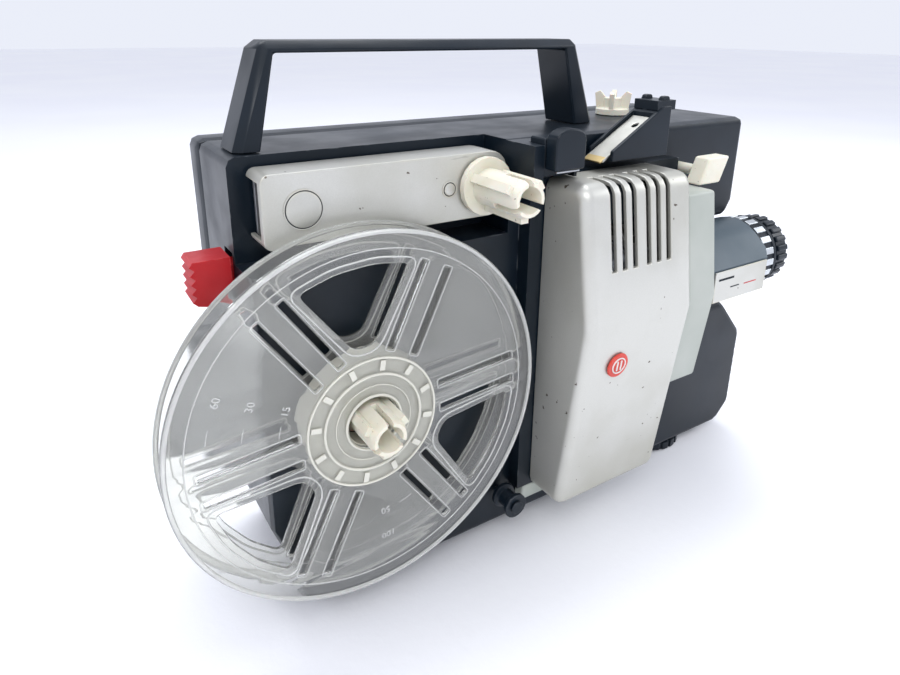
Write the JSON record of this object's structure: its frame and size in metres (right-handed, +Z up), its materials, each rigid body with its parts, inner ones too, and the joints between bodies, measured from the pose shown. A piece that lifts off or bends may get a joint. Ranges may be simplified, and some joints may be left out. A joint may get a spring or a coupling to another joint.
{
  "type": "film projector",
  "caption": "Compact cine film projector with a flat plastic body, a carrying handle, a folding supply arm, a take-up reel, a vented lamp cover and a zoom lens.",
  "frame": {"origin": "on the floor under the middle of the bounding box of the whole projector", "axes": "+X towards the lens, +Y away from the operator's side, +Z up"},
  "size_m": [0.2754, 0.0998, 0.196],
  "materials": {
    "black_plastic": "satin black moulded body plastic",
    "slate_plastic": "dark slate moulded plastic",
    "silver_paint": "silver paint, worn at the edges",
    "pale_plastic": "pale grey-green plastic",
    "ivory_plastic": "aged ivory plastic",
    "red_plastic": "red plastic",
    "clear_plastic": "clear styrene, slightly yellow",
    "glass": "polished glass",
    "steel": "plain steel",
    "bright_metal": "bright metal",
    "brass": "turned brass",
    "ceramic": "white ceramic lamp holder",
    "rubber": "black rubber",
    "copper_winding": "varnished copper winding"
  },
  "bodies": {
    "housing": {"near_shell": "black_plastic", "far_shell": "black_plastic", "carry_handle": "black_plastic", "mechanism_plate": "steel", "rubber_foot_1": "rubber", "rubber_foot_2": "rubber", "rubber_foot_3": "rubber", "mains_inlet": "black_plastic", "gate_cover": "pale_plastic", "base_plate": "pale_plastic", "lamp_bulb": "glass", "lamp_carrier": "steel", "lamp_reflector": "glass", "lamp_socket": "ceramic", "film_gate": "steel", "pressure_plate": "steel", "claw_arm": "steel", "lens_housing": "slate_plastic", "lens_label": "silver_paint", "motor": "steel", "transformer": "copper_winding", "drive_belt": "rubber", "cutter_block": "black_plastic", "lever_pin": "steel", "roller_pin": "steel"},
    "lamp_door": {"lamp_cover": "silver_paint", "cover_badge": "red_plastic"},
    "arm": {"supply_arm": "silver_paint", "arm_back_plate": "steel", "arm_pivot_pin": "steel", "arm_belt": "rubber"},
    "supply_hub": {"supply_spindle": "ivory_plastic", "supply_pulley": "black_plastic"},
    "takeup": {"takeup_spindle": "ivory_plastic", "takeup_pulley": "black_plastic", "reel_hub": "clear_plastic", "reel_front_flange": "clear_plastic", "reel_back_flange": "clear_plastic"},
    "lens": {"lens_barrel": "black_plastic", "rear_lens": "glass", "front_lens": "glass"},
    "focus": {"focus_ring": "black_plastic"},
    "zoom": {"zoom_ring": "bright_metal"},
    "lever": {"control_lever": "red_plastic"},
    "speed": {"speed_knob": "ivory_plastic"},
    "framing": {"framing_knob": "ivory_plastic"},
    "cutter": {"cutter_press": "black_plastic", "cutter_blade": "steel"},
    "chute": {"film_chute": "black_plastic", "chute_liner": "bright_metal"},
    "levelling": {"levelling_foot": "black_plastic"},
    "motor_rotor": {"motor_shaft": "steel", "motor_pulley": "brass", "fan": "black_plastic"},
    "shutter": {"main_shaft": "steel", "main_pulley": "brass", "shutter_disc": "steel"},
    "upper_sprocket": {"sprocket_1": "black_plastic"},
    "lower_sprocket": {"sprocket_2": "black_plastic"},
    "roller": {"guide_roller": "black_plastic"}
  },
  "joints": [
    {"name": "arm_swing", "type": "hinge", "parent": "housing", "child": "arm", "pos_m": [-0.08795, -0.0081, 0.14925], "axis": [0, -1, 0], "range_deg": [0, 90]},
    {"name": "supply_spin", "type": "hinge", "parent": "arm", "child": "supply_hub", "pos_m": [-0.02425, -0.0101, 0.14925], "axis": [0, 1, 0], "continuous": true},
    {"name": "takeup_spin", "type": "hinge", "parent": "housing", "child": "takeup", "pos_m": [-0.07425, -0.0101, 0.081], "axis": [0, 1, 0], "continuous": true},
    {"name": "cover_pull", "type": "slide", "parent": "housing", "child": "lamp_door", "axis": [0, -1, 0], "range_m": [0, 0.045]},
    {"name": "focus_turn", "type": "hinge", "parent": "lens", "child": "focus", "pos_m": [0.12175, -0.0247, 0.104], "axis": [1, 0, 0], "range_deg": [0, 270]},
    {"name": "focus_travel", "type": "slide", "parent": "housing", "child": "lens", "axis": [1, 0, 0], "range_m": [0, 0.003]},
    {"name": "zoom_turn", "type": "hinge", "parent": "lens", "child": "zoom", "pos_m": [0.11175, -0.0247, 0.104], "axis": [1, 0, 0], "range_deg": [-35, 35]},
    {"name": "lever_rock", "type": "hinge", "parent": "housing", "child": "lever", "pos_m": [-0.08325, 0.0069, 0.126], "axis": [0, 1, 0], "range_deg": [-6, 6]},
    {"name": "speed_turn", "type": "hinge", "parent": "housing", "child": "speed", "pos_m": [0.06975, 0.0189, 0.165], "axis": [0, 0, 1], "range_deg": [-135, 135]},
    {"name": "framing_turn", "type": "hinge", "parent": "housing", "child": "framing", "pos_m": [0.07325, -0.0161, 0.146], "axis": [0, 1, 0], "range_deg": [0, 25]},
    {"name": "cutter_push", "type": "slide", "parent": "housing", "child": "cutter", "axis": [0, 0, -1], "range_m": [0, 0.003], "stiffness_N_per_m": 400},
    {"name": "chute_lift", "type": "hinge", "parent": "housing", "child": "chute", "pos_m": [0.02175, -0.0247, 0.1568], "axis": [0, -1, 0], "range_deg": [0, 25]},
    {"name": "levelling_extend", "type": "slide", "parent": "housing", "child": "levelling", "axis": [0, 0, -1], "range_m": [0, 0.006]},
    {"name": "shutter_spin", "type": "hinge", "parent": "housing", "child": "shutter", "pos_m": [0.01575, 0.0059, 0.104], "axis": [1, 0, 0], "continuous": true},
    {"name": "motor_spin", "type": "hinge", "parent": "housing", "child": "motor_rotor", "pos_m": [-0.03425, 0.0229, 0.042], "axis": [1, 0, 0], "continuous": true},
    {"name": "upper_sprocket_spin", "type": "hinge", "parent": "housing", "child": "upper_sprocket", "pos_m": [0.02975, -0.0181, 0.139], "axis": [0, 1, 0], "continuous": true},
    {"name": "lower_sprocket_spin", "type": "hinge", "parent": "housing", "child": "lower_sprocket", "pos_m": [0.02975, -0.0181, 0.061], "axis": [0, 1, 0], "continuous": true},
    {"name": "roller_spin", "type": "hinge", "parent": "housing", "child": "roller", "pos_m": [-0.01425, -0.0221, 0.022], "axis": [0, 1, 0], "continuous": true}
  ],
  "couplings": [
    {"joint": "focus_turn", "follows": "focus_travel", "rad_per_m": 1570.5},
    {"joint": "motor_spin", "follows": "shutter_spin", "ratio": 2.1667},
    {"joint": "upper_sprocket_spin", "follows": "shutter_spin", "ratio": 0.08333},
    {"joint": "lower_sprocket_spin", "follows": "shutter_spin", "ratio": 0.08333}
  ]
}
